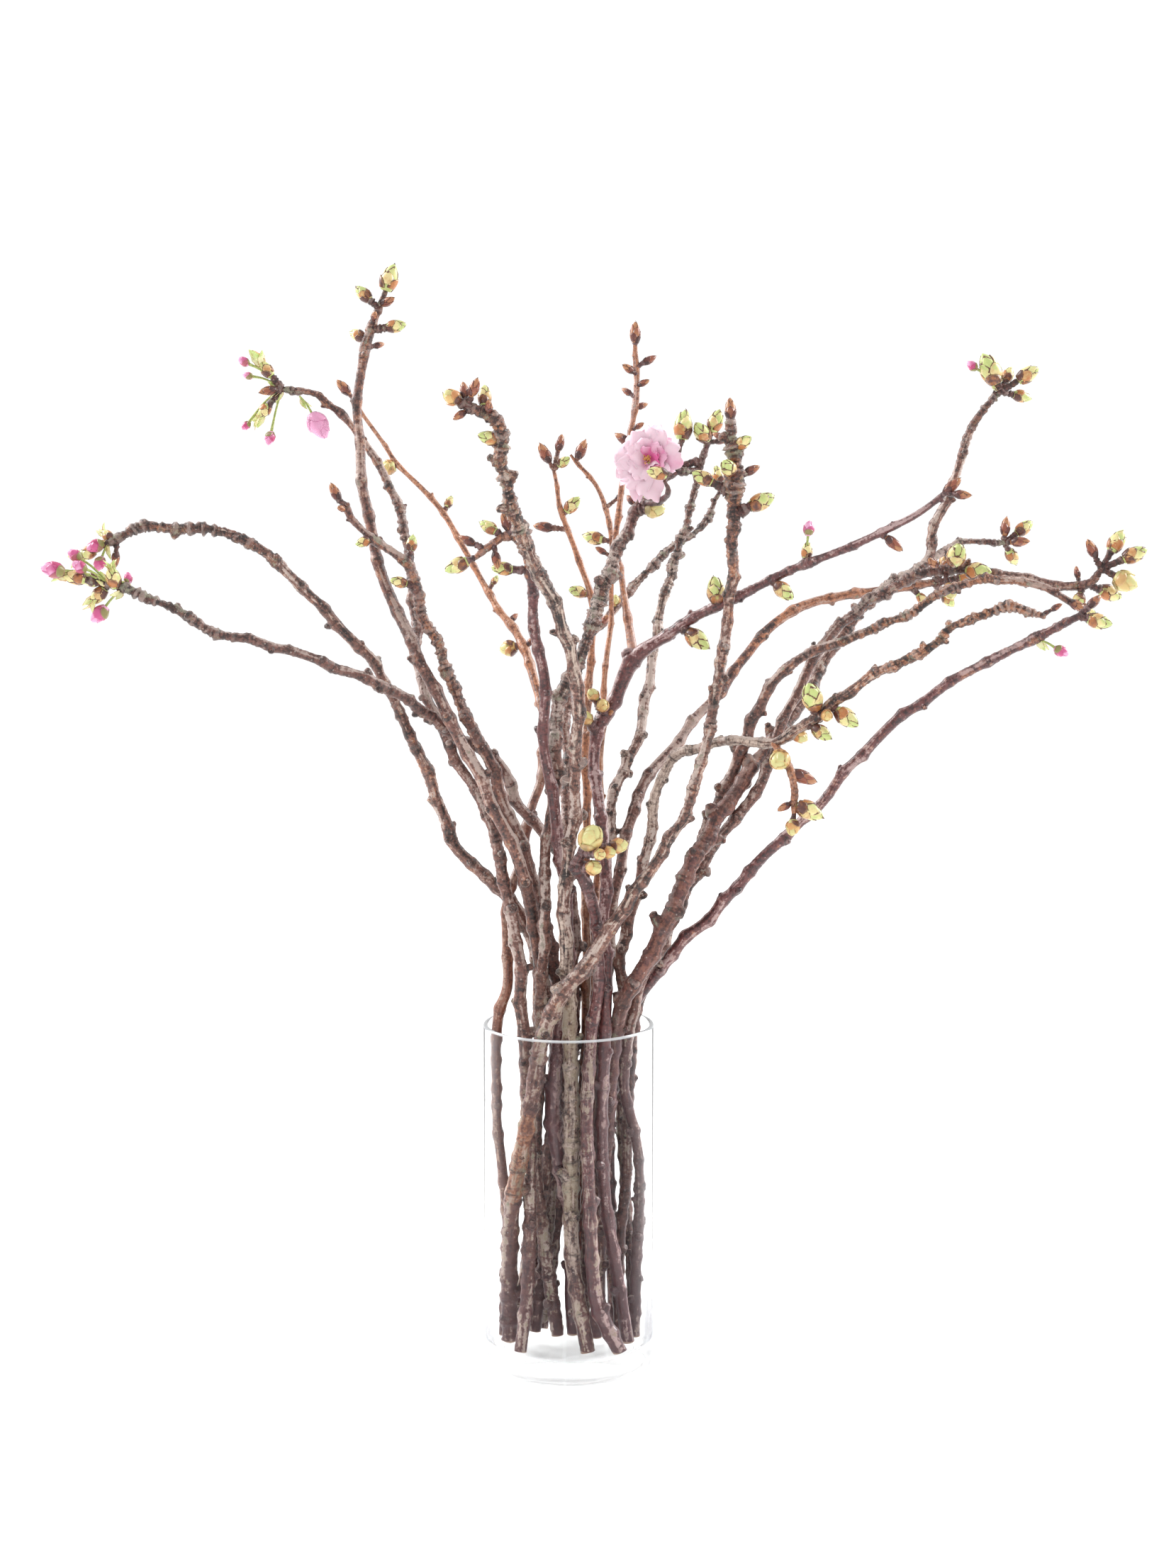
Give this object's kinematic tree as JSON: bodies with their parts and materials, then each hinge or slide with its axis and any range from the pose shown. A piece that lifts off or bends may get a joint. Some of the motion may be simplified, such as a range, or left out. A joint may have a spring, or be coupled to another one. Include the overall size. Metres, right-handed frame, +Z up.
{
  "type": "vase of cherry blossom branches",
  "caption": "Clear glass cylinder vase that holds loose cut cherry branches in bud, one of them with an open double pink blossom.",
  "frame": {"origin": "centre of the vase's flat base, on the surface that it stands on", "axes": "+Z up along the vase's axis, -Y towards the viewer, +X to the viewer's right"},
  "size_m": [0.7408, 0.3253, 0.7735],
  "materials": {
    "clear_glass": "clear, polished",
    "bark_grey": "rough grey-brown bark with ring scars and lichen",
    "bark_red": "smooth dark red-brown bark with pale lenticels",
    "bark_tan": "thin orange-brown young bark",
    "petal": "thin soft pale pink petal",
    "bud_scale": "dry brown bud scale",
    "bud_green": "fresh yellow-green bud and stalk",
    "flower_bud": "closed deep pink flower bud"
  },
  "bodies": {
    "root": {"vase": "clear_glass", "bloom": "petal", "left_arch_branch": "bark_grey", "left_low_branch": "bark_grey", "left_tall_branch": "bark_red", "left_hook_branch": "bark_grey", "left_inner_branch": "bark_grey", "left_thin_branch": "bark_tan", "centre_gnarled_branch": "bark_grey", "centre_red_branch": "bark_red", "centre_tan_branch": "bark_tan", "centre_slim_branch": "bark_tan", "forked_branch": "bark_red", "bloom_bearing_branch": "bark_grey", "back_tall_branch": "bark_grey", "back_slant_branch": "bark_grey", "crossing_branch": "bark_grey", "right_tall_branch": "bark_grey", "right_arch_branch": "bark_grey", "right_twin_branch": "bark_grey", "right_orange_branch": "bark_tan", "right_drooping_branch": "bark_grey", "right_low_branch": "bark_red", "short_front_branch": "bark_red"}
  },
  "joints": []
}
